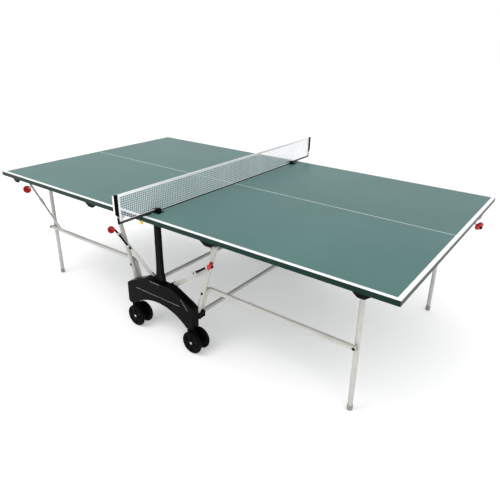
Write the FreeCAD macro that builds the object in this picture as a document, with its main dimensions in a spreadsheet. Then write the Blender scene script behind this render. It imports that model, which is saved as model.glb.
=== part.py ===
import FreeCAD, Part
import math
import os
import Sketcher

# A folding table-tennis table: two hinged playing halves on a castor undercarriage.
# Millimetres. +X runs along the table's length, -Y is its front side, +Z is up.
# The origin is on the floor under the middle of the net.

SIZES = {
    # playing surface
    "table_length": 2740.0, "table_width": 1525.0, "table_height": 760.0,
    "board_depth": 22.0, "edge_depth": 25.0, "edge_wall": 2.0, "lip_width": 18.0,
    "seam_gap": 6.0, "notch_reach": 43.0, "notch_width": 48.0,
    "rail_plane": 480.0, "rail_width": 30.0, "rail_depth": 23.0,
    "rail_first": 60.0, "rail_middle": 600.0, "rail_last": 1130.0,
    # fold linkage of one half: two pivots on the strut side, two on the leg side
    "fold_x": 338.0, "fold_z": 645.0, "root_x": 283.0, "root_z": 350.0,
    "hinge_x": 1205.0, "hinge_z": 660.0, "pin_x": 1150.0, "pin_z": 365.0,
    # side planes of the linkage, measured from the middle of the table
    "leg_plane": 567.5, "brace_plane": 594.5, "strut_plane": 621.5,
    "stay_plane": 637.5, "bridge_plane": 664.0, "post_plane": 660.0, "bar_plane": 616.0,
    # tubes and pins
    "tube_radius": 12.5, "tube_wall": 1.5, "pin_radius": 5.0, "pivot_radius": 6.0,
    "running_gap": 0.05, "open_gap": 0.3, "side_gap": 1.0,
    "cross_x": 236.0, "cross_z": 200.0, "strut_top_x": 376.0, "strut_top_z": 645.0,
    "leg_top": 668.0, "leg_cross_z": 655.0, "foot_depth": 30.0, "foot_radius": 14.0,
    "brace_bend_x": 289.0, "brace_level_z": 370.0, "brace_tail_x": 249.0,
    "brace_tail_z": 240.0, "bend_radius": 38.0,
    # folding stay and the latch that slides on it
    "joint_x": 332.0, "joint_z": 508.0, "stay_reach": 300.0, "stay_slope": 34.6,
    "stay_width": 28.0, "stay_depth": 3.0, "latch_offset": 16.0, "latch_plane": 653.0,
    "latch_radius": 6.0, "latch_inner": 92.0, "latch_outer": 62.0, "stay_tip": 36.0,
    "handle_radius": 22.0, "handle_depth": 18.0, "handle_reach": 72.0, "handle_plane": 674.0,
    # lock bar
    "bar_top_x": 1330.0, "bar_top_z": 666.0, "bar_foot_x": 1014.0, "bar_foot_z": 392.0,
    "bar_radius": 7.0, "knob_radius": 27.0, "knob_depth": 22.0,
    # castor bridge
    "bridge_depth": 48.0, "bridge_end": 260.0, "bridge_low": 134.0, "bridge_top": 342.0,
    "plateau_x": 104.0, "shoulder_x": 242.0, "shoulder_z": 278.0, "arch_x": 212.0,
    "arch_z": 214.0, "cover_wall": 3.0, "beam_low": 236.0, "beam_high": 262.0,
    "beam_end": 240.0, "beam_width": 24.0, "socket_radius": 14.0, "stem_x": 226.0,
    # castors
    "stem_radius": 8.0, "trail": 34.0, "wheel_radius": 65.0, "wheel_width": 22.0,
    "wheel_plane": 33.0, "yoke_width": 34.0, "axle_radius": 5.0,
    # centre posts and net
    "post_width": 34.0, "post_breadth": 24.0, "post_top": 750.0, "clip_top": 778.0,
    "net_height": 152.5, "net_overhang": 152.5, "net_depth": 2.0, "tape_depth": 15.0,
}

LEFT, RIGHT = -1, 1
FRONT, BACK = -1, 1
SIDES = {"left": LEFT, "right": RIGHT}
ENDS = {"front": FRONT, "back": BACK}

document = FreeCAD.newDocument("table_tennis_table")
nodes = []


class Size:
    """A length together with the sheet formula that gives it."""

    def __init__(self, value, formula):
        self.value = value
        self.formula = formula

    def joined(self, other, sign, value):
        return Size(value, f"({self.formula} {sign} {size_of(other).formula})")

    def __add__(self, other):
        return self.joined(other, "+", self.value + size_of(other).value)

    def __sub__(self, other):
        return self.joined(other, "-", self.value - size_of(other).value)

    def __mul__(self, other):
        return self.joined(other, "*", self.value * size_of(other).value)

    def __truediv__(self, other):
        return self.joined(other, "/", self.value / size_of(other).value)

    def __radd__(self, other):
        return size_of(other) + self

    def __rsub__(self, other):
        return size_of(other) - self

    def __rmul__(self, other):
        return size_of(other) * self

    def __neg__(self):
        return self * -1


def size_of(item):
    if isinstance(item, Size):
        return item
    return Size(float(item), f"({float(item)})")


def root_of(item):
    return Size(math.sqrt(item.value), f"sqrt({item.formula})")


def make_sheet():
    """Write the driving dimensions into the sheet, one alias to a row."""
    sheet = document.addObject("Spreadsheet::Sheet", "Sizes")
    for row, (alias, value) in enumerate(SIZES.items(), start=1):
        sheet.set(f"A{row}", alias)
        sheet.set(f"B{row}", str(value))
        sheet.setAlias(f"B{row}", alias)
    document.recompute()
    return sheet


def cell(alias):
    return Size(SIZES[alias], f"Sizes.{alias}")


def bind(item, path, value):
    """Drive one property of a document object by a size's formula."""
    item.setExpression(path, size_of(value).formula)


def settle(item, point, rotation=FreeCAD.Rotation()):
    """Place an object at a point of three sizes, with its base bound to the sheet."""
    base = FreeCAD.Vector(*[size_of(value).value for value in point])
    item.Placement = FreeCAD.Placement(base, rotation)
    for axis, value in zip("xyz", point):
        bind(item, f"Placement.Base.{axis}", value)
    return item


def block(centre, extent):
    """A box given by its centre and its three extents."""
    item = document.addObject("Part::Box", "Block")
    for name, value in zip(("Length", "Width", "Height"), extent):
        bind(item, name, value)
    return settle(item, [size_of(middle) - size_of(span) / 2 for middle, span in zip(centre, extent)])


def rod(start, finish, radius):
    """A cylinder from one point to another."""
    item = document.addObject("Part::Cylinder", "Rod")
    spans = [size_of(last) - size_of(first) for first, last in zip(start, finish)]
    direction = FreeCAD.Vector(*[span.value for span in spans])
    bind(item, "Radius", radius)
    bind(item, "Height", root_of(spans[0] * spans[0] + spans[1] * spans[1] + spans[2] * spans[2]))
    return settle(item, start, FreeCAD.Rotation(FreeCAD.Vector(0, 0, 1), direction))


def pin(x, y, z, length, radius):
    """A cylinder along Y, given by its middle."""
    half = size_of(length) / 2
    return rod((x, size_of(y) - half, z), (x, size_of(y) + half, z), radius)


def fused(items):
    item = document.addObject("Part::MultiFuse", "Fused")
    item.Shapes = items
    return item


def cut(base, tools):
    """The base with every tool taken away."""
    item = document.addObject("Part::Cut", "Cut")
    item.Base = base
    item.Tool = tools[0] if len(tools) == 1 else fused(tools)
    return item


def rounded(item, radius, wanted):
    """Fillet the edges that the test picks out."""
    document.recompute()
    edges = [number for number, edge in enumerate(item.Shape.Edges, start=1) if wanted(edge)]
    fillet = document.addObject("Part::Fillet", "Rounded")
    fillet.Base = item
    fillet.Edges = [(number, radius, radius) for number in edges]
    return fillet


def node(label, items):
    """Name a sub-part. Several separate solids of one kind share a compound."""
    item = items[0]
    if len(items) > 1:
        item = document.addObject("Part::Compound", "Group")
        item.Links = items
    item.Label = label
    nodes.append(item)
    return item


def outline_sketch(holder, points, arch=None):
    """A closed outline in the XZ plane, every corner bound to the sheet.

    With an arch, the last stretch is an arc of that rise instead of a straight line."""
    sketch = holder.newObject("Sketcher::SketchObject", "Outline")
    plane = [item for item in holder.Origin.OriginFeatures if item.Role == "XZ_Plane"][0]
    sketch.AttachmentSupport = [(plane, "")]
    sketch.MapMode = "FlatFace"
    corners = [FreeCAD.Vector(size_of(x).value, size_of(z).value, 0) for x, z in points]
    count = len(corners)
    straight = count - 1 if arch is not None else count
    for index in range(straight):
        sketch.addGeometry(Part.LineSegment(corners[index], corners[(index + 1) % count]))
    if arch is not None:
        middle = (corners[-1] + corners[0]) / 2 + FreeCAD.Vector(0, arch.value, 0)
        sketch.addGeometry(Part.Arc(corners[0], middle, corners[-1]))
    join_corners(sketch, straight, arch)
    place_corners(sketch, points, straight)
    if arch is not None:
        half = (size_of(points[-1][0]) - size_of(points[0][0])) / 2
        radius = (half * half + arch * arch) / (arch * 2)
        number = sketch.addConstraint(Sketcher.Constraint("Radius", straight, radius.value))
        sketch.setExpression(f"Constraints[{number}]", radius.formula)
    return sketch


def join_corners(sketch, straight, arch):
    """Tie each stretch's end to the next one's start."""
    for index in range(straight - 1):
        sketch.addConstraint(Sketcher.Constraint("Coincident", index, 2, index + 1, 1))
    if arch is None:
        sketch.addConstraint(Sketcher.Constraint("Coincident", straight - 1, 2, 0, 1))
        return
    sketch.addConstraint(Sketcher.Constraint("Coincident", straight, 1, 0, 1))
    sketch.addConstraint(Sketcher.Constraint("Coincident", straight, 2, straight - 1, 2))


def place_corners(sketch, points, straight):
    """Bind each corner's distance from the sketch's origin."""
    for index, (x, z) in enumerate(points):
        line, end = (index, 1) if index < straight else (straight - 1, 2)
        for kind, value in (("DistanceX", size_of(x)), ("DistanceY", size_of(z))):
            number = sketch.addConstraint(Sketcher.Constraint(kind, -1, 1, line, end, value.value))
            sketch.setExpression(f"Constraints[{number}]", value.formula)


def slab(points, y_centre, depth, arch=None):
    """A padded XZ outline, centred on a plane across the table."""
    body = document.addObject("PartDesign::Body", "Slab")
    sketch = outline_sketch(body, points, arch)
    pad = body.newObject("PartDesign::Pad", "Pad")
    pad.Profile = sketch
    bind(pad, "Length", depth)
    sketch.Visibility = False
    return settle(body, (0, size_of(y_centre) + size_of(depth) / 2, 0))


def tube(start, finish):
    """Round frame tube between two points."""
    outer = rod(start, finish, cell("tube_radius"))
    inner = rod(start, finish, cell("tube_radius") - cell("tube_wall"))
    return cut(outer, [inner])


def box_rail(centre, extent, axis):
    """Rectangular tube along X (axis 0) or Y (axis 1)."""
    wall = cell("tube_wall") * 2
    hollow = [span if index == axis else size_of(span) - wall for index, span in enumerate(extent)]
    return cut(block(centre, extent), [block(centre, hollow)])


# ---------------------------------------------------------------- playing halves

def board(side):
    """Playing board of one half, notched at the seam for the two centre posts."""
    inner = cell("seam_gap") + cell("edge_wall")
    outer = cell("table_length") / 2 - cell("edge_wall")
    width = cell("table_width") - cell("edge_wall") * 2
    panel = block((side * (inner + outer) / 2, 0, cell("table_height") - cell("board_depth") / 2),
                  (outer - inner, width, cell("board_depth")))
    notches = [block((0, end * cell("post_plane"), cell("table_height")),
                     (cell("notch_reach") * 2, cell("notch_width"), cell("board_depth") * 4))
               for end in (FRONT, BACK)]
    return cut(panel, notches)


def angle_rail(side, low, high, y_low, y_high, lip):
    """Edge angle: an upright wall over low..high, with a lip of the given box under the board."""
    depth = cell("edge_depth")
    wall = block((side * (low + high) / 2, (y_low + y_high) / 2, cell("table_height") - depth / 2),
                 (high - low, y_high - y_low, depth))
    lip_low, lip_high, lip_front, lip_back = lip
    shelf = depth - cell("board_depth")
    ledge = block((side * (lip_low + lip_high) / 2, (lip_front + lip_back) / 2,
                   cell("table_height") - cell("board_depth") - shelf / 2),
                  (lip_high - lip_low, lip_back - lip_front, shelf))
    return fused([wall, ledge])


def edge_frame(side):
    """The angle rails round one half: an end rail, two side rails and three at the seam."""
    seam = cell("seam_gap")
    wall = cell("edge_wall")
    end = cell("table_length") / 2
    half = cell("table_width") / 2
    lip = cell("lip_width")
    notch_in = cell("post_plane") - cell("notch_width") / 2
    notch_out = cell("post_plane") + cell("notch_width") / 2
    inside = half - wall
    rails = [angle_rail(side, end - wall, end, -inside, inside,
                        (end - wall - lip, end - wall, -inside, inside)),
             angle_rail(side, seam, seam + wall, -notch_in, notch_in,
                        (seam + wall, seam + wall + lip, -notch_in, notch_in))]
    for way in (FRONT, BACK):
        low, high = sorted((way * inside, way * half), key=lambda item: item.value)
        lip_low, lip_high = sorted((way * (inside - lip), way * inside), key=lambda item: item.value)
        rails.append(angle_rail(side, seam, end, low, high,
                                (seam + wall + lip, end - wall - lip, lip_low, lip_high)))
        near, far = sorted((way * notch_out, way * inside), key=lambda item: item.value)
        rails.append(angle_rail(side, seam, seam + wall, near, far,
                                (seam + wall, seam + wall + lip, near, far)))
    return rails


def rails(side):
    """Stiffening rails glued under the board: two along it and three across."""
    z = cell("table_height") - cell("board_depth") - cell("rail_depth") / 2
    width = cell("rail_width")
    first, last = cell("rail_first"), cell("rail_last")
    made = [box_rail((side * (first + last) / 2, way * cell("rail_plane"), z),
                     (last - first, width, cell("rail_depth")), 0) for way in (FRONT, BACK)]
    between = cell("rail_plane") * 2 - width
    for x in (first + width / 2, cell("rail_middle"), last - width / 2):
        made.append(box_rail((side * x, 0, z), (width, between, cell("rail_depth")), 1))
    return made


def ear(x, y, z, thickness, breadth):
    """Hinge ear: a plate hanging from the board's underside, round at its pin."""
    top = cell("table_height") - cell("board_depth")
    plate = block((x, y, (z + top) / 2), (breadth, thickness, top - z))
    return [plate, pin(x, y, z, thickness, size_of(breadth) / 2)]


def flange(x, y, length, breadth):
    """Foot of a hinge bracket, screwed under the board."""
    thickness = cell("edge_depth") - cell("board_depth")
    z = cell("table_height") - cell("board_depth") - thickness / 2
    return block((x, y, z), (length, breadth, thickness))


def fold_bracket(side, way):
    """Bracket of the main fold pivot, with its pivot stud."""
    x = side * cell("fold_x")
    thickness = 5
    outside = cell("strut_plane") + cell("tube_radius")
    plane = outside + cell("side_gap") * 2 + thickness / 2
    stud_inner = cell("strut_plane") - cell("tube_radius")
    stud_outer = plane + thickness / 2
    stud = pin(x, way * (stud_inner + stud_outer) / 2, cell("fold_z"), stud_outer - stud_inner,
               cell("pivot_radius"))
    return fused(ear(x, way * plane, cell("fold_z"), thickness, 40)
                 + [flange(x, way * (plane + 20), 110, 60), stud])


def leg_bracket(side, way):
    """Bracket of a leg hinge: one ear outside the leg, with its stud."""
    x = side * cell("hinge_x")
    thickness = 4
    stud_inner = cell("leg_plane") - cell("tube_radius")
    plane = cell("leg_plane") + cell("tube_radius") + cell("side_gap") * 2 + thickness / 2
    stud_outer = plane + thickness / 2
    stud = pin(x, way * (stud_inner + stud_outer) / 2, cell("hinge_z"), stud_outer - stud_inner,
               cell("pin_radius"))
    return fused(ear(x, way * plane, cell("hinge_z"), thickness, 30)
                 + [flange(x, way * (plane - 12), 90, 44), stud])


def bar_bracket(side, way):
    """Clevis of the lock bar, with its pin."""
    x = side * cell("bar_top_x")
    plane = way * cell("bar_plane")
    thickness = 4
    spread = cell("bar_radius") + cell("side_gap") * 2 + thickness / 2
    pieces = [flange(x - side * 15, plane, 50, spread * 2 + thickness),
              pin(x, plane, cell("bar_top_z"), spread * 2 + thickness, cell("pin_radius"))]
    for step in (-1, 1):
        pieces += ear(x, plane + step * spread, cell("bar_top_z"), thickness, 24)
    return fused(pieces)


def edge_clip(side, way, x, half_length):
    """Dark trapezoid gusset that shows under the edge of the board."""
    top = cell("table_height") - cell("edge_depth")
    y = way * (cell("table_width") / 2 - cell("edge_wall") - cell("lip_width") / 2)
    points = [(side * (x - half_length), top), (side * (x - half_length / 3), top - 24),
              (side * (x + half_length / 3), top - 24), (side * (x + half_length), top)]
    return slab(points, y, 8)


def seam_tab(side):
    """Small tab under the outer corner of the seam."""
    top = cell("table_height") - cell("edge_depth")
    return block((side * 17, side * (cell("table_width") / 2 - 9), top - 11), (16, 10, 22))


# ---------------------------------------------------------------- legs, braces, lock bars

def leg(side, way):
    """Leg tube with the plate that carries its hinge bore."""
    x = side * cell("pin_x")
    y = way * cell("leg_plane")
    top = cell("leg_top")
    main = tube((x, y, cell("foot_depth") / 2), (x, y, top))
    plate_z = cell("leg_top") - 16
    reach = cell("hinge_x") - cell("pin_x")
    plate = block((x + side * reach / 2, y, plate_z + 4), (reach, 10, 24))
    eye = pin(side * cell("hinge_x"), y, cell("hinge_z"), 25, 14)
    core = rod((x, y, 10), (x, y, top), cell("tube_radius") - cell("tube_wall"))
    arm = cut(fused([plate, eye]), [core])
    bores = [pin(side * cell("hinge_x"), y, cell("hinge_z"), 60,
                 cell("pin_radius") + cell("running_gap")),
             pin(x, y, cell("pin_z"), 60, cell("pin_radius") + cell("open_gap"))]
    return cut(fused([main, arm]), bores)


def leg_cross_tube(side):
    """Tube that ties a pair of legs under the board."""
    x = side * cell("pin_x")
    inside = cell("leg_plane") - cell("tube_radius")
    return tube((x, -inside, cell("leg_cross_z")), (x, inside, cell("leg_cross_z")))


def foot(side, way):
    """Round rubber foot over a leg's end."""
    x = side * cell("pin_x")
    y = way * cell("leg_plane")
    shell = rod((x, y, 0), (x, y, cell("foot_depth")), cell("foot_radius"))
    shell = rounded(shell, 4, lambda edge: abs(edge.BoundBox.ZMax) < 1e-6)
    socket = rod((x, y, cell("foot_depth") / 2), (x, y, cell("foot_depth") + 1), cell("tube_radius"))
    return cut(shell, [socket])


def bent_tube(corner_points, y, radius):
    """Sweep a disc of the given radius along a bent path in the XZ plane."""
    first, corner, last = [FreeCAD.Vector(x.value, y.value, z.value) for x, z in corner_points]
    bend = SIZES["bend_radius"]
    inward = (first - corner).normalize()
    outward = (last - corner).normalize()
    turn = inward.getAngle(outward)
    back = bend / math.tan(turn / 2)
    start, finish = corner + inward * back, corner + outward * back
    middle_way = (inward + outward).normalize()
    middle = corner + middle_way * (bend / math.sin(turn / 2) - bend)
    path = Part.Wire([Part.LineSegment(first, start).toShape(), Part.Arc(start, middle, finish).toShape(),
                      Part.LineSegment(finish, last).toShape()])
    disc = Part.Wire([Part.Circle(first, inward, radius).toShape()])
    item = document.addObject("Part::Feature", "Sweep")
    item.Shape = path.makePipeShell([disc], True, False)
    return item


def brace(side, way):
    """Bent brace: a level run to the leg and a short tail beside the strut."""
    y = way * cell("brace_plane")
    reach = 12
    points = [(side * (cell("pin_x") + reach), cell("pin_z")),
              (side * cell("brace_bend_x"), cell("brace_level_z")),
              (side * cell("brace_tail_x"), cell("brace_tail_z"))]
    radius = SIZES["tube_radius"]
    outer = bent_tube(points, y, radius)
    inner = bent_tube(points, y, radius - SIZES["tube_wall"])
    hole = cell("pin_radius")
    bores = [pin(side * cell("root_x"), y, cell("root_z"), 40, hole),
             pin(side * cell("pin_x"), y, cell("pin_z"), 40, hole)]
    pieces = [outer]
    if way == side:
        lug_y = way * (cell("brace_plane") + cell("tube_radius") - 4)
        pieces = [fused([outer, block((side * (cell("bar_foot_x") + 4), lug_y, 374), (22, 7, 16))])]
    return cut(cut(pieces[0], [inner]), bores)


def brace_pin(side, way, x, z, inner, outer):
    """Pivot pin fixed in the brace, between two planes across the table."""
    return pin(side * x, way * (inner + outer) / 2, z, outer - inner, cell("pin_radius"))


def brace_pins(side):
    """The pins of the two braces, at the leg and at the strut."""
    radius = cell("tube_radius")
    made = []
    for way in (FRONT, BACK):
        made.append(brace_pin(side, way, cell("pin_x"), cell("pin_z"),
                              cell("leg_plane") - radius - 3, cell("brace_plane") + radius))
        made.append(brace_pin(side, way, cell("root_x"), cell("root_z"),
                              cell("brace_plane") - radius - 3, cell("strut_plane") + radius))
    return made


def lock_bar(side, way):
    """Diagonal lock bar, hinged under the end of the board, with a collar half way."""
    y = way * cell("bar_plane")
    top_x, top_z = side * cell("bar_top_x"), cell("bar_top_z")
    run, rise = cell("bar_foot_x") - cell("bar_top_x"), cell("bar_foot_z") - cell("bar_top_z")
    eye = pin(top_x, y, top_z, cell("bar_radius") * 2 + cell("side_gap") * 2, 11)
    collar = rod((top_x + side * run * 0.38, y, top_z + rise * 0.38),
                 (top_x + side * run * 0.49, y, top_z + rise * 0.49), 10)
    bore = pin(top_x, y, top_z, 60, cell("pin_radius") + cell("running_gap"))
    return cut(fused([lock_rod(side, way), eye, collar, knob_stub(side, way)]), [bore])


def knob_stub(side, way):
    """Short arm that carries the lock bar's knob."""
    y = way * cell("bar_plane")
    return rod((side * 1298, y, 638), (side * 1330, y, 612), 6)


def lock_rod(side, way):
    """The lock bar's own rod, from its lower end to its pivot."""
    y = way * cell("bar_plane")
    return rod((side * cell("bar_foot_x"), y, cell("bar_foot_z")),
               (side * cell("bar_top_x"), y, cell("bar_top_z")), cell("bar_radius"))


def grip(side, way, centre, radius, depth):
    """Round grip whose face leans inward, outward across the table and up."""
    lean = (-side * 0.82, way * 0.35, 0.45)
    start = [middle - size_of(depth) / 2 * part for middle, part in zip(centre, lean)]
    finish = [middle + size_of(depth) / 2 * part for middle, part in zip(centre, lean)]
    return rounded(rod(start, finish, radius), 6, lambda edge: edge.Length > 100)


def lock_knob(side, way):
    """Red grip at the end of the lock bar's stub."""
    centre = (side * size_of(1336), way * (cell("bar_plane") + 2), size_of(608))
    disc = grip(side, way, centre, cell("knob_radius"), cell("knob_depth"))
    return cut(disc, [knob_stub(side, way), lock_rod(side, way)])


# ---------------------------------------------------------------- undercarriage

def cross_tube(side):
    """Tube across the undercarriage, from one bridge beam to the other."""
    reach = cell("bridge_plane") - cell("beam_width") / 2 - 4
    x, z = side * cell("cross_x"), cell("cross_z")
    return tube((x, -reach, z), (x, reach, z))


def strut(side, way):
    """Sloping strut with the gusset and boss of the main fold pivot."""
    y = way * cell("strut_plane")
    foot_end = (side * cell("cross_x"), y, cell("cross_z"))
    top_end = (side * cell("strut_top_x"), y, cell("strut_top_z"))
    outer = rod(foot_end, top_end, cell("tube_radius"))
    inner = rod(foot_end, top_end, cell("tube_radius") - cell("tube_wall"))
    x, z = side * cell("fold_x"), cell("fold_z")
    gusset = slab([(side * (cell("strut_top_x") - 22), z - 72), (side * (cell("strut_top_x") - 8), z - 20),
                   (x, z + 10), (x - side * 10, z)], y, 8)
    boss = pin(x, y, z, cell("tube_radius") * 2, 13)
    cap = block((top_end[0], y, cell("strut_top_z")), (24, 20, 8))
    stud = rod((side * cell("joint_x"), y, cell("joint_z")),
               (side * cell("joint_x"), way * (cell("stay_plane") + 4), cell("joint_z")), cell("pin_radius"))
    head = pin(side * cell("joint_x"), way * (cell("stay_plane") + 4), cell("joint_z"), 4, 8)
    bores = [shoe_block(side, way), pin(x, y, z, 60, cell("pivot_radius") + cell("running_gap")),
             pin(side * cell("root_x"), y, cell("root_z"), 60, cell("pin_radius") + cell("running_gap"))]
    return cut(fused([cut(outer, [inner]), gusset, boss, cap, stud, head]), bores)


def shoe_block(side, way):
    return block((side * (cell("cross_x") + 4), way * (cell("strut_plane") - 11), cell("cross_z")),
                 (44, 50, 34))


def strut_shoe(side, way):
    """Black shoe that seats a strut on its cross tube."""
    x, z = side * cell("cross_x"), cell("cross_z")
    y = way * cell("strut_plane")
    return cut(shoe_block(side, way), [pin(x, y, z, 120, cell("tube_radius"))])


def along_stay(side, distance, offset, y):
    """Point on the stay's line from its pivot: distance outward along it, offset above it."""
    angle = math.radians(SIZES["stay_slope"])
    x = cell("joint_x") + math.cos(angle) * size_of(distance) - math.sin(angle) * size_of(offset)
    z = cell("joint_z") + math.sin(angle) * size_of(distance) + math.cos(angle) * size_of(offset)
    return (side * x, y, z)


def stay(side, way):
    """Flat stay, pivoted on the strut, with two guides for its latch rod."""
    y = way * cell("stay_plane")
    half = cell("stay_width") / 2
    corners = []
    tip = cell("stay_tip") - half / 2
    for distance, offset in ((-cell("stay_reach") + half, -half), (tip, -half), (cell("stay_tip"), -half / 2),
                             (cell("stay_tip"), half / 2), (tip, half), (-cell("stay_reach") + half, half)):
        x, _, z = along_stay(side, distance, offset, y)
        corners.append((x, z))
    bar = slab(corners, y, cell("stay_depth"))
    inner = along_stay(side, -cell("stay_reach") + half, 0, y)
    ends = [pin(inner[0], y, inner[2], cell("stay_depth"), half)]
    guides = [latch_guide(side, way, distance) for distance in (-72, 26)]
    bores = [pin(side * cell("joint_x"), y, cell("joint_z"), 12, cell("pin_radius") + cell("running_gap")),
             rod(along_stay(side, -140, cell("latch_offset"), way * cell("latch_plane")),
                 along_stay(side, 60, cell("latch_offset"), way * cell("latch_plane")),
                 cell("latch_radius") + cell("running_gap"))]
    return cut(fused([bar] + ends + guides), bores)


def latch_guide(side, way, distance):
    """Guide sleeve for the latch rod, on a foot welded to the stay."""
    plane = way * cell("latch_plane")
    sleeve = rod(along_stay(side, distance - 7, cell("latch_offset"), plane),
                 along_stay(side, distance + 7, cell("latch_offset"), plane), 9)
    outside = cell("stay_plane") - cell("stay_depth") / 2
    low, high = outside, cell("latch_plane")
    foot_x, _, foot_z = along_stay(side, distance, cell("latch_offset") - 6, plane)
    foot = block((foot_x, way * (low + high) / 2, foot_z), (12, high - low, 12))
    return fused([sleeve, foot])


def latch_rod(side, way):
    """Sliding latch rod."""
    plane = way * cell("latch_plane")
    offset = cell("latch_offset")
    return rod(along_stay(side, -cell("latch_inner"), offset, plane),
               along_stay(side, cell("latch_outer"), offset, plane), cell("latch_radius"))


def latch_handle(side, way):
    """Round red grip at the outer end of a latch rod."""
    centre = along_stay(side, cell("handle_reach"), cell("latch_offset"), way * cell("handle_plane"))
    disc = grip(side, way, centre, cell("handle_radius"), cell("handle_depth"))
    return cut(disc, [latch_rod(side, way)])


def stay_catch(side, way):
    """Spring clip on the bridge, open downward, that holds the stay's inner end."""
    y = way * cell("stay_plane")
    angle = math.radians(SIZES["stay_slope"])
    half = SIZES["stay_width"] / 2
    reach = SIZES["stay_reach"]
    lower, upper = -(reach + 34), -(reach - 18)
    points = [along_stay(side, distance, offset, y) for distance, offset in
              ((lower, -4), (lower, half + 5), (upper, half + 5), (upper, half + 1))]
    points.append(along_stay(side, -(reach + 4), half + 1, y))
    points.append(along_stay(side, -(reach + 4), -4, y))
    return slab([(x, z) for x, _, z in points], y, 5)


def bridge_outline(side_wall):
    """Corners of the castor bridge, from the arch's right foot round to its left foot."""
    end = cell("bridge_end") - side_wall
    low = cell("bridge_low") + side_wall
    right = [(cell("arch_x") + side_wall, low), (end - 8, low), (end, low + 12),
             (end, cell("shoulder_z") - 16 - side_wall), (cell("shoulder_x") - side_wall / 2,
                                                         cell("shoulder_z") - side_wall),
             (cell("plateau_x") - side_wall / 2, cell("bridge_top") - side_wall)]
    return right + [(-x, z) for x, z in reversed(right)]


def bridge_cover(way, inner):
    """One moulded half of a castor bridge: a face with a rim, split on the bridge's mid-plane."""
    depth = cell("bridge_depth") / 2
    step = -1 if inner else 1
    wall = cell("cover_wall")
    plane = way * (cell("bridge_plane") + step * depth / 2)
    rise = cell("arch_z") - cell("bridge_low")
    shell = slab(bridge_outline(size_of(0)), plane, depth, rise)
    hollow_plane = way * (cell("bridge_plane") + step * (depth - wall) / 2)
    hollow = slab(bridge_outline(wall), hollow_plane, depth - wall, rise)
    tools = [hollow] + (bridge_screws(way) if inner else [])
    for side in (LEFT, RIGHT):
        tools.append(rod((side * cell("stem_x"), way * cell("bridge_plane"), cell("bridge_low") - 5),
                         (side * cell("stem_x"), way * cell("bridge_plane"), cell("bridge_low") + 9), 15))
        if inner:
            tools.append(pin(side * cell("cross_x"), way * cell("bridge_plane"), cell("cross_z"), 60, 13))
    tools.append(block((0, way * cell("post_plane"), cell("bridge_top")), (26, 18, 20)))
    return cut(shell, tools)


def bridge_beam(way):
    """Welded steel core of a bridge: box beam, post socket and two castor sockets."""
    plane = way * cell("bridge_plane")
    low, high = cell("beam_low"), cell("beam_high")
    beam = box_rail((0, plane, (low + high) / 2), (cell("beam_end") * 2, cell("beam_width"), high - low), 0)
    pieces = [beam]
    for side in (LEFT, RIGHT):
        x = side * cell("stem_x")
        pieces.append(rod((x, plane, cell("bridge_low") + 2), (x, plane, low), cell("socket_radius")))
        plate_y = cell("bridge_plane") - cell("beam_width") / 2 - 2
        pieces.append(block((side * (cell("cross_x") - 6), way * plate_y, 218), (20, 4, 76)))
    bores = [rod((side * cell("stem_x"), plane, cell("bridge_low") - 5),
                 (side * cell("stem_x"), plane, low - 6), cell("stem_radius") + cell("running_gap"))
             for side in (LEFT, RIGHT)]
    return cut(fused(pieces), bores)


def centre_post(way):
    """Black centre post: a flared boot on the bridge, a tall box and a spigot down to the beam."""
    y = way * cell("post_plane")
    base, top = cell("bridge_top"), cell("post_top")
    half = cell("post_width") / 2
    points = [(-half - 16, base), (half + 16, base), (half + 12, base + 22), (half + 3, base + 60),
              (half, base + 130), (half - 2, top), (2 - half, top), (-half, base + 130),
              (-half - 3, base + 60), (-half - 12, base + 22)]
    upright = slab(points, y, cell("post_breadth"))
    spigot = block((0, y, (cell("beam_high") + base + 10) / 2), (24, 16, base + 10 - cell("beam_high")))
    return fused([upright, spigot])


def post_clip(way):
    """Clip on top of a centre post, slotted for the net."""
    y = way * (cell("post_plane") - 4)
    low, high = cell("post_top"), cell("clip_top")
    body = block((0, y, (low + high) / 2), (32, 32, high - low))
    body = rounded(body, 5, lambda edge: edge.BoundBox.ZMin > SIZES["clip_top"] - 1)
    slot = block((0, y, high), (5, 60, 32))
    return cut(body, [slot])


def net_arm(way):
    """Arm from a centre post's clip out to the net post."""
    inner = cell("post_plane") + 12
    outer = cell("table_width") / 2 + cell("net_overhang") - 13
    z = cell("table_height") + 7
    return block((0, way * (inner + outer) / 2, z), (10, outer - inner, 10))


def net_post(way):
    """Flat net post with a tapered lower end."""
    y = way * (cell("table_width") / 2 + cell("net_overhang"))
    top = cell("table_height") + cell("net_height")
    post = block((0, y, (top + 742) / 2), (12, 26, top - 742))
    tip = slab([(-6, 742), (6, 742), (3, 716), (-3, 716)], y, 26)
    return fused([post, tip])


def net_panel():
    """Plain closed solid that stands for the net's mesh."""
    depth = cell("net_depth")
    reach = cell("table_width") / 2 + cell("net_overhang") - 13
    top = cell("table_height") + cell("net_height") - cell("tape_depth")
    low_middle, low_side = cell("table_height") + 4, cell("table_height") + 14
    split = cell("post_plane") - 22
    middle = block((0, 0, (top + low_middle) / 2), (depth, split * 2, top - low_middle))
    wide = block((0, 0, (top + low_side) / 2), (depth, reach * 2, top - low_side))
    return fused([middle, wide])


def net_tape():
    """White tape folded over the net's top cord."""
    reach = cell("table_width") / 2 + cell("net_overhang") - 13
    top = cell("table_height") + cell("net_height")
    return block((0, 0, top - cell("tape_depth") / 2), (4, reach * 2, cell("tape_depth")))


def bridge_screws(way):
    """Heads of the screws that close a bridge's covers, flush in the inner cover."""
    y = way * (cell("bridge_plane") - cell("bridge_depth") / 2 + cell("cover_wall") / 2)
    return [pin(x, y, z, cell("cover_wall"), 5) for x, z in ((-150, 285), (150, 285), (-206, 172), (206, 172))]


# ---------------------------------------------------------------- castors

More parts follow.
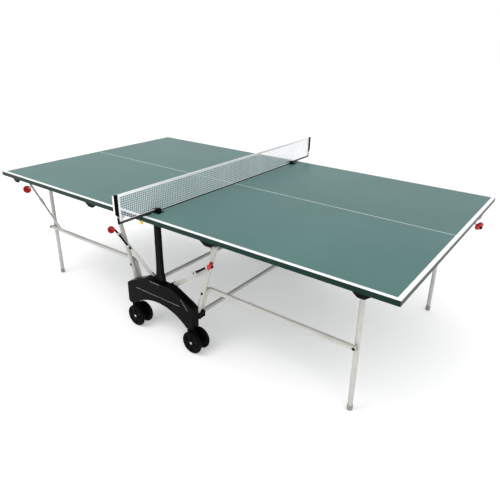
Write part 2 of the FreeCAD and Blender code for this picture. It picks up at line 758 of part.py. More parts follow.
def castor_yoke(side, way):
    """Swivel fork between the twin wheels, with its stem, swivel plate and axle."""
    stem = side * cell("stem_x")
    plane = way * cell("bridge_plane")
    axle_x, axle_z = stem + cell("trail"), cell("wheel_radius")
    top = cell("bridge_low") - 4
    profile = [(stem - 15, top), (stem + 15, top), (axle_x + 16, axle_z + 8), (axle_x + 8, axle_z - 14),
               (axle_x - 10, axle_z - 14), (stem - 14, top - 26)]
    pieces = [slab(profile, plane, cell("yoke_width")),
              rod((stem, plane, top - 10), (stem, plane, cell("beam_low") - 12), cell("stem_radius")),
              rod((stem, plane, top - 2), (stem, plane, cell("bridge_low") - 1), 22)]
    bore = pin(axle_x, plane, axle_z, 120, cell("axle_radius") + cell("running_gap"))
    return cut(fused(pieces), [bore])


def castor_wheels(side, way):
    """Two moulded wheels on one axle, each with five pockets in its outer face."""
    x = side * cell("stem_x") + cell("trail")
    z = cell("wheel_radius")
    plane = way * cell("bridge_plane")
    made = [pin(x, plane, z, cell("wheel_plane") * 2 + cell("wheel_width") + 2, cell("axle_radius"))]
    for step in (-1, 1):
        made.append(wheel(x, plane + step * cell("wheel_plane"), z, step))
    return made


def wheel(x, y, z, step):
    width = cell("wheel_width")
    disc = rounded(pin(x, y, z, width, cell("wheel_radius")), 6, lambda edge: edge.Length > 100)
    face = y + step * width / 2
    pockets = []
    for turn in range(5):
        angle = math.radians(90 + 72 * turn)
        pockets.append(pin(x + 34 * math.cos(angle), face, z + 34 * math.sin(angle), 14, 12))
    bore = pin(x, y, z, 60, cell("axle_radius"))
    return cut(disc, pockets + [bore])


# ---------------------------------------------------------------- assembly

def build_halves():
    for name, side in SIDES.items():
        node(f"{name}_board", [board(side)])
        node(f"{name}_edge_frame", edge_frame(side))
        node(f"{name}_rails", rails(side))
        brackets = [maker(side, way) for maker in (fold_bracket, leg_bracket) for way in (FRONT, BACK)]
        node(f"{name}_hinge_brackets", brackets + [bar_bracket(side, side)])
        node(f"{name}_edge_clips", [edge_clip(side, way, x, length) for way in (FRONT, BACK)
                                    for x, length in ((440, 55), (1215, 45))])
        node(f"{name}_seam_tab", [seam_tab(side)])


def build_legs():
    for name, side in SIDES.items():
        node(f"{name}_leg_frame", [leg(side, way) for way in (FRONT, BACK)] + [leg_cross_tube(side)])
        node(f"{name}_leg_feet", [foot(side, way) for way in (FRONT, BACK)])
        node(f"{name}_braces", [brace(side, way) for way in (FRONT, BACK)])
        node(f"{name}_brace_pins", brace_pins(side))
        node(f"{name}_lock_bar", [lock_bar(side, side)])
        node(f"{name}_lock_knob", [lock_knob(side, side)])


def build_undercarriage():
    node("cross_tubes", [cross_tube(side) for side in SIDES.values()])
    for name, side in SIDES.items():
        node(f"{name}_struts", [strut(side, way) for way in (FRONT, BACK)])
        node(f"{name}_stays", [stay(side, way) for way in (FRONT, BACK)])
        for end, way in ENDS.items():
            node(f"{name}_{end}_latch_rod", [latch_rod(side, way)])
            node(f"{name}_{end}_latch_handle", [latch_handle(side, way)])
            node(f"{name}_{end}_castor_yoke", [castor_yoke(side, way)])
            node(f"{name}_{end}_castor_wheels", castor_wheels(side, way))
    node("strut_shoes", [strut_shoe(side, way) for side in SIDES.values() for way in (FRONT, BACK)])
    node("stay_catches", [stay_catch(side, way) for side in SIDES.values() for way in (FRONT, BACK)])
    for end, way in ENDS.items():
        node(f"{end}_bridge_outer_cover", [bridge_cover(way, False)])
        node(f"{end}_bridge_inner_cover", [bridge_cover(way, True)])
    node("bridge_beams", [bridge_beam(way) for way in (FRONT, BACK)])
    node("bridge_screws", bridge_screws(FRONT) + bridge_screws(BACK))


def build_net():
    node("centre_posts", [centre_post(way) for way in (FRONT, BACK)])
    node("post_clips", [post_clip(way) for way in (FRONT, BACK)])
    node("net_arms", [net_arm(way) for way in (FRONT, BACK)])
    node("net_posts", [net_post(way) for way in (FRONT, BACK)])
    node("net", [net_panel()])
    node("net_tape", [net_tape()])


def check_objects():
    """Stop if any feature failed or any sub-part has no sound shape."""
    failed = [item.Name for item in document.Objects
              if "Invalid" in item.State or "Error" in item.State]
    if failed:
        raise RuntimeError(f"features failed: {failed}")
    for item in nodes:
        if item.Shape.isNull() or not item.Shape.isValid():
            raise RuntimeError(f"{item.Label} has no sound shape")


def write_parts():
    os.makedirs("parts", exist_ok=True)
    for item in nodes:
        item.Shape.exportStep(f"parts/{item.Label}.step")
        print(item.Label, len(item.Shape.Solids), round(item.Shape.Volume / 1000, 1), "cm3")


make_sheet()
build_halves()
build_legs()
build_undercarriage()
build_net()
document.recompute()
check_objects()
write_parts()
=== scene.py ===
import math
import random

import bmesh
import bpy
from mathutils import Matrix, Vector


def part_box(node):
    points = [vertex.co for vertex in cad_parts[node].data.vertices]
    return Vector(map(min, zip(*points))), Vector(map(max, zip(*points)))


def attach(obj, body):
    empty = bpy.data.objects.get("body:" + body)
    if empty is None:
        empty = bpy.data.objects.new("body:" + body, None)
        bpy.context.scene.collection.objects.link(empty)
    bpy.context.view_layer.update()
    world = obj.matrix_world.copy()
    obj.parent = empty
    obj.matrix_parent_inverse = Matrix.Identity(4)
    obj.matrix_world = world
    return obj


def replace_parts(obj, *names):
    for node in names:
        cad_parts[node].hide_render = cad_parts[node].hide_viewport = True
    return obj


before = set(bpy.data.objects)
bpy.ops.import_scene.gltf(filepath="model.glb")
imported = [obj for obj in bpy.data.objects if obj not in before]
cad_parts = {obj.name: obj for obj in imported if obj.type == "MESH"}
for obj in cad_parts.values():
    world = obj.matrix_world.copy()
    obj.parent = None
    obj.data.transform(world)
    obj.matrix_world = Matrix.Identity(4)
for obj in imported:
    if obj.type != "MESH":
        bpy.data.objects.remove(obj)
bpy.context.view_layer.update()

# Metres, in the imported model's frame: +X along the table, -Y its front side, +Z up.
# "left" is the half at -X and "right" the half at +X; "front" is the -Y side.

SIDES = {"left": -1, "right": 1}
ENDS = {"front": -1, "back": 1}
MM = 0.001
SEED = 7


# ---------------------------------------------------------------- materials

def grey(level):
    return (level, level, level)


SCUFF_SCALE, SCUFF_DETAIL = 38.0, 9.0
GRAIN_DEPTH = 0.3 * MM
THREAD_DEPTH = 0.2 * MM


def noise(tree, scale, detail=4.0):
    """A noise texture in the piece's own coordinates."""
    place = tree.nodes.new("ShaderNodeTexCoord")
    texture = tree.nodes.new("ShaderNodeTexNoise")
    texture.inputs["Scale"].default_value = scale
    texture.inputs["Detail"].default_value = detail
    tree.links.new(place.outputs["Object"], texture.inputs["Vector"])
    return texture.outputs["Fac"]


def ramp(tree, source, stops):
    """A colour ramp over a value, with (place, colour) stops."""
    node = tree.nodes.new("ShaderNodeValToRGB")
    elements = node.color_ramp.elements
    while len(elements) < len(stops):
        elements.new(0.5)
    for element, (place, colour) in zip(elements, stops):
        element.position = place
        element.color = (*colour, 1.0)
    tree.links.new(source, node.inputs["Fac"])
    return node.outputs["Color"]


def spread(tree, source, low, high):
    """The value stretched from its usual middle range to low..high."""
    node = tree.nodes.new("ShaderNodeMapRange")
    node.inputs["From Min"].default_value = 0.3
    node.inputs["From Max"].default_value = 0.7
    node.inputs["To Min"].default_value = low
    node.inputs["To Max"].default_value = high
    tree.links.new(source, node.inputs["Value"])
    return node.outputs["Result"]


def mixed(tree, factor, first, second):
    node = tree.nodes.new("ShaderNodeMix")
    node.data_type = "RGBA"
    tree.links.new(factor, node.inputs["Factor"])
    for socket, colour in ((node.inputs[6], first), (node.inputs[7], second)):
        if isinstance(colour, tuple):
            socket.default_value = (*colour, 1.0)
        else:
            tree.links.new(colour, socket)
    return node.outputs[2]


def bumped(tree, shader, height, strength, distance):
    node = tree.nodes.new("ShaderNodeBump")
    node.inputs["Strength"].default_value = strength
    node.inputs["Distance"].default_value = distance
    tree.links.new(height, node.inputs["Height"])
    tree.links.new(node.outputs["Normal"], shader.inputs["Normal"])


def finish_of(name, dark, light, rough, grain, drift=6.0, strength=0.15, scuff=None, **sockets):
    """A finish: slow colour drift, fine grain in roughness and bump, and scuffs if a colour is given."""
    material = bpy.data.materials.new(name)
    material.use_nodes = True
    tree = material.node_tree
    shader = tree.nodes["Principled BSDF"]
    colour = ramp(tree, noise(tree, drift), ((0.35, dark), (0.65, light)))
    fine = noise(tree, grain)
    if scuff:
        patches = ramp(tree, noise(tree, SCUFF_SCALE, SCUFF_DETAIL), ((0.60, grey(0.0)), (0.72, grey(0.5))))
        colour = mixed(tree, patches, colour, scuff)
    tree.links.new(colour, shader.inputs["Base Color"])
    tree.links.new(spread(tree, fine, *rough), shader.inputs["Roughness"])
    bumped(tree, shader, fine, strength, GRAIN_DEPTH)
    for socket, value in sockets.items():
        shader.inputs[socket.replace("_", " ")].default_value = value
    return material


def weave_of(name, colour, shade, threads, rough):
    """Woven tape: crossed thread waves in colour and bump."""
    material = bpy.data.materials.new(name)
    material.use_nodes = True
    tree = material.node_tree
    shader = tree.nodes["Principled BSDF"]
    place = tree.nodes.new("ShaderNodeTexCoord")
    waves = []
    for direction in ("Y", "Z"):
        wave = tree.nodes.new("ShaderNodeTexWave")
        wave.bands_direction = direction
        wave.inputs["Scale"].default_value = threads
        wave.inputs["Distortion"].default_value = 0.6
        tree.links.new(place.outputs["Object"], wave.inputs["Vector"])
        waves.append(wave.outputs["Fac"])
    weave = tree.nodes.new("ShaderNodeMath")
    weave.operation = "MULTIPLY"
    for source, socket in zip(waves, weave.inputs):
        tree.links.new(source, socket)
    worn = spread(tree, noise(tree, 30.0), 0.0, 0.35)
    tree.links.new(mixed(tree, worn, colour, shade), shader.inputs["Base Color"])
    tree.links.new(spread(tree, weave.outputs[0], *rough), shader.inputs["Roughness"])
    bumped(tree, shader, weave.outputs[0], 0.35, THREAD_DEPTH)
    shader.inputs["Sheen Weight"].default_value = 0.25
    return material


def board_finish():
    """Matt lacquer on top, plain dark sealer underneath, told apart by the face's own direction."""
    material = finish_of("playing_lacquer", (0.046, 0.141, 0.132), (0.054, 0.156, 0.145),
                         (0.32, 0.42), 900.0, drift=2.2, strength=0.08, Specular_IOR_Level=0.27)
    tree = material.node_tree
    shader = tree.nodes["Principled BSDF"]
    lacquer = shader.inputs["Base Color"].links[0].from_socket
    place = tree.nodes.new("ShaderNodeTexCoord")
    split = tree.nodes.new("ShaderNodeSeparateXYZ")
    above = tree.nodes.new("ShaderNodeMath")
    above.operation = "GREATER_THAN"
    above.inputs[1].default_value = 0.5
    tree.links.new(place.outputs["Normal"], split.inputs["Vector"])
    tree.links.new(split.outputs["Z"], above.inputs[0])
    sealer = ramp(tree, noise(tree, 14.0, 8.0), ((0.3, (0.018, 0.050, 0.042)),
                                                 (0.7, (0.030, 0.068, 0.058))))
    tree.links.new(mixed(tree, above.outputs[0], sealer, lacquer), shader.inputs["Base Color"])
    return material


def black_plastic(name, level, rough, grain=420.0):
    return finish_of(name, grey(level), grey(level * 1.5), rough, grain, drift=9.0, strength=0.22,
                     scuff=grey(level * 5), Specular_IOR_Level=0.04)


def make_finishes():
    """One material for each of the record's slots, and a few for the added pieces."""
    white = finish_of("line_paint", (0.80, 0.82, 0.82), (0.90, 0.91, 0.91), (0.42, 0.58), 700.0,
                      strength=0.12, scuff=(0.62, 0.66, 0.65))
    steel = dict(Metallic=0.9)
    return {
        "playing_surface": board_finish(),
        "edge_paint": finish_of("edge_enamel", (0.001, 0.018, 0.013), (0.003, 0.027, 0.020), (0.30, 0.44),
                                260.0, scuff=(0.012, 0.045, 0.035), Specular_IOR_Level=0.14),
        "frame_paint": finish_of("frame_powder_coat", (0.42, 0.415, 0.39), (0.52, 0.51, 0.485), (0.34, 0.50),
                                 340.0, strength=0.25, scuff=(0.33, 0.32, 0.30), Specular_IOR_Level=0.4),
        "bracket_steel": finish_of("bracket_zinc", (0.42, 0.42, 0.43), (0.58, 0.58, 0.58), (0.34, 0.5),
                                   300.0, Metallic=0.7),
        "pin_steel": finish_of("pin_zinc", grey(0.50), grey(0.64), (0.26, 0.4), 500.0, **steel),
        "rubber_foot": finish_of("foot_rubber", grey(0.22), grey(0.30), (0.7, 0.9), 380.0, strength=0.4,
                                 scuff=grey(0.2)),
        "grip_red": finish_of("grip_plastic", (0.38, 0.004, 0.005), (0.52, 0.009, 0.009), (0.26, 0.4),
                              300.0, strength=0.2),
        "tab_yellow": finish_of("tab_plastic", (0.75, 0.52, 0.03), (0.86, 0.62, 0.05), (0.3, 0.45), 300.0),
        "latch_black": black_plastic("latch_paint", 0.003, (0.3, 0.45)),
        "yoke_plastic": black_plastic("yoke_nylon", 0.002, (0.34, 0.5)),
        "wheel_plastic": black_plastic("wheel_nylon", 0.002, (0.36, 0.54), 300.0),
        "bridge_plastic": black_plastic("bridge_moulding", 0.002, (0.24, 0.38), 520.0),
        "post_paint": black_plastic("post_enamel", 0.002, (0.26, 0.4)),
        "clip_plastic": black_plastic("clip_nylon", 0.003, (0.32, 0.46)),
        "arm_steel": finish_of("arm_enamel", grey(0.012), grey(0.022), (0.3, 0.45), 260.0),
        "net_mesh": finish_of("net_yarn", (0.58, 0.60, 0.64), (0.68, 0.70, 0.74), (0.7, 0.9), 1800.0,
                              strength=0.5),
        "net_tape": weave_of("tape_weave", (0.86, 0.87, 0.87), (0.74, 0.76, 0.76), 420.0, (0.7, 0.9)),
        "white": white,
        "stitch": finish_of("stitch_thread", grey(0.62), grey(0.72), (0.7, 0.9), 2500.0, strength=0.5),
        "engraving": finish_of("engraved_line", grey(0.30), grey(0.42), (0.4, 0.55), 900.0),
    }


# ---------------------------------------------------------------- mesh helpers

def skin(bm, low, high):
    """Faces between two rings, either of which may be a single point."""
    count = max(len(low), len(high))
    for index in range(count):
        following = (index + 1) % count
        corners = [low[index % len(low)], low[following % len(low)],
                   high[following % len(high)], high[index % len(high)]]
        bm.faces.new(list(dict.fromkeys(corners)))


def turned(bm, profile, centre, axis, segments=40, shape=None, closed=False):
    """A surface of revolution about axis. profile is (radius, height) pairs, with radius 0 at a pole.

    shape(radius, angle) gives what is added to a point's radius and height."""
    turn = Vector((0, 0, 1)).rotation_difference(Vector(axis)).to_matrix().to_4x4()
    place = Matrix.Translation(centre) @ turn
    rings = []
    for radius, height in profile:
        ring = []
        for step in range(segments if radius else 1):
            angle = 2 * math.pi * step / segments
            wider, higher = shape(radius, angle) if shape else (0.0, 0.0)
            point = Vector(((radius + wider) * math.cos(angle), (radius + wider) * math.sin(angle),
                            height + higher))
            ring.append(bm.verts.new(place @ point))
        rings.append(ring)
    pairs = list(zip(rings, rings[1:]))
    if closed:
        pairs.append((rings[-1], rings[0]))
    for low, high in pairs:
        skin(bm, low, high)


def plank(bm, low, high, bevel):
    """A box between two corners, with every edge rounded."""
    low, high = Vector(low), Vector(high)
    middle, extent = (low + high) / 2, high - low
    place = Matrix.Translation(middle) @ Matrix.Diagonal((*extent, 1.0))
    made = bmesh.ops.create_cube(bm, size=1.0, matrix=place)
    edges = list({edge for vertex in made["verts"] for edge in vertex.link_edges})
    bmesh.ops.bevel(bm, geom=edges, offset=bevel, segments=2, affect="EDGES", profile=0.6)


def strand(bm, points, radius, sides, capped):
    """A thin tube along a line of points."""
    whole = points[-1] - points[0]
    aside = Vector((0, 1, 0)) if abs(whole.x) > abs(whole.y) else Vector((1, 0, 0))
    rings = []
    for index, point in enumerate(points):
        before, after = points[max(index - 1, 0)], points[min(index + 1, len(points) - 1)]
        along = (after - before).normalized()
        across = along.cross(aside).normalized()
        up = along.cross(across)
        ring = []
        for step in range(sides):
            angle = 2 * math.pi * (step + 0.5) / sides
            ring.append(bm.verts.new(point + radius * (across * math.cos(angle) + up * math.sin(angle))))
        rings.append(ring)
    for low, high in zip(rings, rings[1:]):
        skin(bm, low, high)
    if capped:
        bm.faces.new(rings[0][::-1])
        bm.faces.new(rings[-1])


def piece_of(name, bm, finish, body):
    """The finished mesh as a piece that rides on a body."""
    bmesh.ops.recalc_face_normals(bm, faces=bm.faces)
    mesh = bpy.data.meshes.new(name)
    bm.to_mesh(mesh)
    bm.free()
    mesh.shade_smooth()
    mesh.set_sharp_from_angle(angle=math.radians(38))
    mesh.materials.append(finish)
    piece = bpy.data.objects.new(name, mesh)
    bpy.context.scene.collection.objects.link(piece)
    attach(piece, body)
    return piece


# ---------------------------------------------------------------- CAD nodes

CAD_FINISHES = {
    "playing_surface": ["left_board", "right_board"],
    "edge_paint": ["_edge_frame", "_rails"],
    "frame_paint": ["_leg_frame", "_braces", "_struts", "_stays", "_lock_bar", "cross_tubes"],
    "bracket_steel": ["_hinge_brackets"],
    "pin_steel": ["_brace_pins", "bridge_beams"],
    "rubber_foot": ["_leg_feet"],
    "tab_yellow": ["_seam_tab"],
    "latch_black": ["_latch_rod", "_edge_clips", "stay_catches", "strut_shoes", "bridge_screws"],
    "yoke_plastic": ["_castor_yoke"],
    "bridge_plastic": ["_cover"],
    "post_paint": ["centre_posts", "net_posts"],
    "clip_plastic": ["post_clips"],
    "arm_steel": ["net_arms"],
}


def finish_nodes(finishes):
    """Give every carried-over CAD node its finish through its own material slots."""
    for slot_name, endings in CAD_FINISHES.items():
        for name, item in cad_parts.items():
            if name.endswith(tuple(endings)):
                for slot in item.material_slots:
                    slot.material = finishes[slot_name]


# ---------------------------------------------------------------- playing halves

LINE_WIDTH = 20 * MM
CENTRE_LINE_WIDTH = 3 * MM
PAINT_DEPTH = 0.3 * MM


def playing_lines(name, side, finishes):
    """White lines along a half's outer sides and end, and the thin one down its middle."""
    low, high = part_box(f"{name}_edge_frame")
    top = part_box(f"{name}_board")[1].z
    inner, outer = (low.x, high.x) if side > 0 else (high.x, low.x)
    stretches = [(outer - side * LINE_WIDTH, outer, low.y, high.y)]
    reach = outer - side * LINE_WIDTH
    stretches += [(inner, reach, low.y, low.y + LINE_WIDTH), (inner, reach, high.y - LINE_WIDTH, high.y),
                  (inner, reach, -CENTRE_LINE_WIDTH / 2, CENTRE_LINE_WIDTH / 2)]
    bm = bmesh.new()
    for first, last, near, far in stretches:
        plank(bm, (min(first, last), near, top - PAINT_DEPTH), (max(first, last), far, top + PAINT_DEPTH),
              PAINT_DEPTH / 3)
    piece_of(f"{name}_lines", bm, finishes["white"], f"{name}_half")


# ---------------------------------------------------------------- caps and grips

PIN_RADIUS = 5 * MM
BRACE_FACE = 607 * MM
CAP_RADIUS, CAP_DEPTH = 8 * MM, 1.6 * MM

# Each kind of grip: its radius, its depth, and how far it stands off its bar.
GRIPS = {"handle": (22 * MM, 18 * MM, 0.0), "knob": (27 * MM, 22 * MM, 12 * MM)}
GRIP_LEAN = (0.82, 0.35, 0.45)
LOBES = 8
LOBE_DEPTH = 0.05
COLLAR_NECK, COLLAR_SHOULDER, COLLAR_RADIUS = 7.5 * MM, 8.5 * MM, 9.5 * MM

def cap_profile(radius, depth):
    """A domed screw cap with a shallow dish."""
    return [(0, depth * 0.7), (radius * 0.45, depth * 0.7), (radius * 0.55, depth),
            (radius * 0.8, depth * 0.95), (radius, depth * 0.35), (radius, 0), (0, 0)]


def pivot_caps(name, finishes):
    """Black caps on the outer ends of the pivot pins."""
    low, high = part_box(f"{name}_brace_pins")
    side = SIDES[name]
    leg_x, root_x = (high.x, low.x) if side > 0 else (low.x, high.x)
    for label, x, z, y in (("brace", leg_x - side * PIN_RADIUS, high.z - PIN_RADIUS, BRACE_FACE),
                           ("root", root_x + side * PIN_RADIUS, low.z + PIN_RADIUS, high.y)):
        bm = bmesh.new()
        for way in ENDS.values():
            turned(bm, cap_profile(CAP_RADIUS, CAP_DEPTH), (x, way * y, z), (0, way, 0), 28)
        piece_of(f"{name}_{label}_caps", bm, finishes["clip_plastic"], f"{name}_brace_pair")


def grip_profile(radius, depth):
    """A round grip from the middle of its dished face, over its rim, to its back."""
    half = depth / 2
    face = [(0, 0.55), (0.30, 0.58), (0.55, 0.72), (0.68, 1), (0.84, 1), (0.95, 0.72)]
    rim = [(1, 0.2), (1, -0.3)]
    back = [(0.94, -0.75), (0.8, -1), (0.35, -1), (0, -1)]
    return [(radius * out, half * along) for out, along in face + rim + back]


def grip(piece_name, node, side, way, kind, body, finishes):
    """A lobed red grip in place of a CAD disc, with the black collar behind it."""
    radius, depth, standoff = GRIPS[kind]
    low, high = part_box(node)
    centre = (low + high) / 2 + Vector((0, way * standoff, 0))
    lean = Vector((-side * GRIP_LEAN[0], way * GRIP_LEAN[1], GRIP_LEAN[2])).normalized()

    def lobes(ring_radius, angle):
        share = max(0.0, ring_radius / radius - 0.8) / 0.2
        return -LOBE_DEPTH * radius * share * (0.5 - 0.5 * math.cos(LOBES * angle)), 0.0

    bm = bmesh.new()
    turned(bm, grip_profile(radius * 1.02, depth), centre, lean, 64, lobes)
    made = piece_of(piece_name, bm, finishes["grip_red"], body)
    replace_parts(made, node)
    collar = bmesh.new()
    profile = [(0, -depth * 0.95), (COLLAR_NECK, -depth * 0.95), (COLLAR_SHOULDER, -depth * 0.8),
               (COLLAR_RADIUS, -depth * 0.5), (COLLAR_RADIUS, -depth * 0.45), (0, -depth * 0.45)]
    turned(collar, profile, centre, lean, 32)
    piece_of(f"{piece_name}_collar", collar, finishes["latch_black"], body)


# ---------------------------------------------------------------- castors

WHEEL_HALF = 11 * MM
POCKETS = 5
POCKET_DEPTH = 6 * MM
POCKET_INNER, POCKET_FLOOR_INNER = 17 * MM, 22 * MM
POCKET_FLOOR_OUTER, POCKET_OUTER = 44 * MM, 49 * MM
AXLE_RADIUS, AXLE_HALF = 5 * MM, 24 * MM
AXLE_CAP = ((0, 1.6), (4, 1.5), (6.5, 0.8), (7.5, 0), (0, 0))


def smooth(value, low, high):
    share = min(max((value - low) / (high - low), 0.0), 1.0)
    return share * share * (3 - 2 * share)


def pocket(radius, angle):
    """How far a wheel's outer face is pressed in at a point: five rounded pockets between spokes."""
    if not POCKET_INNER < radius < POCKET_OUTER + 1 * MM:
        return 0.0, 0.0
    radial = (smooth(radius, POCKET_INNER, POCKET_FLOOR_INNER)
              * (1 - smooth(radius, POCKET_FLOOR_OUTER, POCKET_OUTER)))
    around = smooth(math.cos(POCKETS * angle), -0.55, 0.05)
    return 0.0, -POCKET_DEPTH * radial * around


def wheel(bm, centre, outward):
    """One moulded wheel: a plain inner face, a rounded tread, a rim groove and a pocketed hub."""
    back = [(0, -11), (30, -11), (52, -11), (58, -10), (62.5, -8), (64.6, -4.5)]
    tread = [(65, 0), (64.6, 4.5), (62.5, 8), (58, 10), (55.5, 10.6), (54, 9.2), (52.5, 9.2), (51, 10.4)]
    hub = [(50 - step * 1.5, 10.6) for step in range(22)]
    boss = [(15.5, 10.9), (11, 11), (10, 10.4), (0, 10.4)]
    profile = [(radius * MM, height * MM) for radius, height in back + tread + hub + boss]
    turned(bm, profile, centre, (0, outward, 0), 120, pocket)


def castor(name, end, finishes):
    """The twin wheels of one castor with their axle and its bright caps."""
    node = f"{name}_{end}_castor_wheels"
    body = f"{name}_{end}_wheels"
    low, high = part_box(node)
    middle = (low + high) / 2
    half = (high.y - low.y) / 2
    bm = bmesh.new()
    caps = bmesh.new()
    for outward in (-1, 1):
        centre = middle + Vector((0, outward * (half - 1 * MM - WHEEL_HALF), 0))
        wheel(bm, centre, outward)
        turned(caps, [(radius * MM, height * MM) for radius, height in AXLE_CAP],
               middle + Vector((0, outward * (half - 1.7 * MM), 0)), (0, outward, 0), 32)
    turned(bm, [(0, -AXLE_HALF), (AXLE_RADIUS, -AXLE_HALF), (AXLE_RADIUS, AXLE_HALF), (0, AXLE_HALF)],
           middle, (0, 1, 0), 24)
    wheels = piece_of(f"{name}_{end}_wheel_pair", bm, finishes["wheel_plastic"], body)
    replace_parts(wheels, node)
    piece_of(f"{name}_{end}_axle_caps", caps, finishes["pin_steel"], body)


# ---------------------------------------------------------------- castor bridges

ENGRAVING_RADIUS = 0.9 * MM
# Lines on a bridge's face as (x, z) ends: a long level one, a short one at the top and one down a shoulder.
FACE_LINES = (((-183 * MM, 254 * MM), (165 * MM, 254 * MM)),
              ((-63 * MM, 333 * MM), (12 * MM, 333 * MM)),
              ((176 * MM, 301 * MM), (224 * MM, 247 * MM)))


def bridge_lines(end, finishes):
    """Thin light lines pressed in a bridge's face. The back bridge is the front one turned round."""
    low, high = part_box(f"{end}_bridge_outer_cover")
    way = ENDS[end]
    face = low.y if way < 0 else high.y
    bm = bmesh.new()
    for ends in FACE_LINES:
        strand(bm, [Vector((-way * x, face, z)) for x, z in ends], ENGRAVING_RADIUS, 6, True)
    piece_of(f"{end}_bridge_lines", bm, finishes["engraving"], "undercarriage")


# ---------------------------------------------------------------- net

NET_PITCH = 12.5 * MM
YARN_RADIUS = 1.1 * MM
BAND_WIDTH = 13 * MM
HEM_RADIUS = 1.2 * MM
HEM_STEPS = 120
CLIP_REACH = 16 * MM
HEM_RISE_BEFORE, HEM_RISE_AFTER = 18 * MM, 14 * MM
KNOT_DRIFT_ACROSS, KNOT_DRIFT = 0.2 * MM, 0.5 * MM
BAND_HALF = 1.5 * MM
TAPE_STEPS = 90
TAPE_RIPPLE = 0.25 * MM
STITCH_COUNT = 150
STITCH_HALF, STITCH_RADIUS, STITCH_HEIGHT = 3.2 * MM, 0.35 * MM, 2.2 * MM


def hem_height(y, low_middle, low_side, split):
    """Height of the net's lower edge: low between the centre posts, higher over the arms."""
    return low_middle + (low_side - low_middle) * smooth(abs(y), split - HEM_RISE_BEFORE,
                                                             split + HEM_RISE_AFTER)


def net_pieces(finishes):
    """The knotted net with its top tape, end bands and hem cord."""
    rng = random.Random(SEED)
    low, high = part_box("net")
    tape_low, tape_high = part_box("net_tape")
    clip_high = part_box("post_clips")[1]
    arm_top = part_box("net_arms")[1].z
    split = clip_high.y - CLIP_REACH
    floor = low.z + HEM_RADIUS
    side_floor = arm_top + 2 * HEM_RADIUS
    reach = high.y - BAND_WIDTH / 2

    def lower(y):
        return hem_height(y, floor, side_floor, split)

    def knot(y, z):
        """A knot's place, a little off the even grid."""
        return Vector((rng.uniform(-KNOT_DRIFT_ACROSS, KNOT_DRIFT_ACROSS),
                       y + rng.uniform(-KNOT_DRIFT, KNOT_DRIFT), z + rng.uniform(-KNOT_DRIFT, KNOT_DRIFT)))

    columns = round(2 * reach / NET_PITCH)
    rows = round((tape_low.z - floor) / NET_PITCH)
    knots = []
    for column in range(columns + 1):
        y = -reach + 2 * reach * column / columns
        base = lower(y)
        knots.append([knot(y, base + (tape_low.z + 2 * MM - base) * row / rows) for row in range(rows + 1)])
    bm = bmesh.new()
    for column in knots:
        strand(bm, column, YARN_RADIUS, 4, False)
    for row in range(1, rows):
        strand(bm, [column[row] for column in knots], YARN_RADIUS, 4, False)
    net = piece_of("net_yarns", bm, finishes["net_mesh"], "undercarriage")
    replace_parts(net, "net")

    tape = net_top_tape(tape_low, tape_high, finishes)
    bands = net_bands(reach, side_floor, tape_low.z, finishes)
    hem_places = [-reach + 2 * reach * step / HEM_STEPS for step in range(HEM_STEPS + 1)]
    hem_points = [Vector((0, y, lower(y))) for y in hem_places]
    hem = bmesh.new()
    strand(hem, hem_points, HEM_RADIUS, 8, True)
    hem_cord = piece_of("net_hem_cord", hem, finishes["net_tape"], "undercarriage")
    stitches = tape_stitches(tape_low, tape_high, finishes)


def net_top_tape(low, high, finishes):
    """Tape folded over the top cord: a round bead along its top edge and two flat layers below."""
    bm = bmesh.new()
    half = high.x
    bead = [(half * math.sin(math.radians(angle)), high.z - half + half * math.cos(math.radians(angle)))
            for angle in range(-110, 111, 20)]
    hang = 0.55 * half
    shoulder = high.z - 2.4 * half
    outline = bead + [(hang, shoulder), (hang, low.z), (-hang, low.z), (-hang, shoulder)]
    rings = []
    for step in range(TAPE_STEPS + 1):
        y = low.y + (high.y - low.y) * step / TAPE_STEPS
        ripple = TAPE_RIPPLE * math.sin(step * 1.7) if 0 < step < TAPE_STEPS else 0.0
        rings.append([bm.verts.new((x + (ripple if z < high.z - 2 * half else 0.0), y, z))
                      for x, z in outline])
    for near, far in zip(rings, rings[1:]):
        skin(bm, near, far)
    bm.faces.new(rings[0][::-1])
    bm.faces.new(rings[-1])
    tape = piece_of("net_top_tape", bm, finishes["net_tape"], "undercarriage")
    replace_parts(tape, "net_tape")
    return tape


def tape_stitches(low, high, finishes):
    """Two rows of stitches that close the tape, one on each face."""
    bm = bmesh.new()
    height = low.z + STITCH_HEIGHT
    for face in (-1, 1):
        x = face * 0.62 * high.x
        for step in range(STITCH_COUNT):
            middle = low.y + (high.y - low.y) * (step + 0.5) / STITCH_COUNT
            strand(bm, [Vector((x, middle - STITCH_HALF, height)), Vector((x, middle + STITCH_HALF, height))],
                   STITCH_RADIUS, 5, True)
    return piece_of("net_tape_stitches", bm, finishes["stitch"], "undercarriage")


def net_bands(reach, bottom, top, finishes):
    """White bands that bind the net's two ends."""
    bm = bmesh.new()
    for way in ENDS.values():
        near, far = sorted((way * (reach - BAND_WIDTH / 2), way * (reach + BAND_WIDTH / 2)))
        plank(bm, (-BAND_HALF, near, bottom), (BAND_HALF, far, top + 3 * MM), 0.6 * MM)
    return piece_of("net_end_bands", bm, finishes["net_tape"], "undercarriage")


# ---------------------------------------------------------------- net posts

POST_HALF = 3.5 * MM
EDGING = 2.4 * MM
EDGING_HALF = 4.2 * MM
POST_END_OUTER, POST_END_INNER = 820 * MM, 790 * MM
TONGUE = 9 * MM


def plate(bm, outline, half):
    """A flat plate across the X axis, from its outline of (y, z) corners."""
    rings = [[bm.verts.new((x, y, z)) for y, z in outline] for x in (-half, half)]
    skin(bm, *rings)
    bm.faces.new(rings[0][::-1])
    bm.faces.new(rings[1])


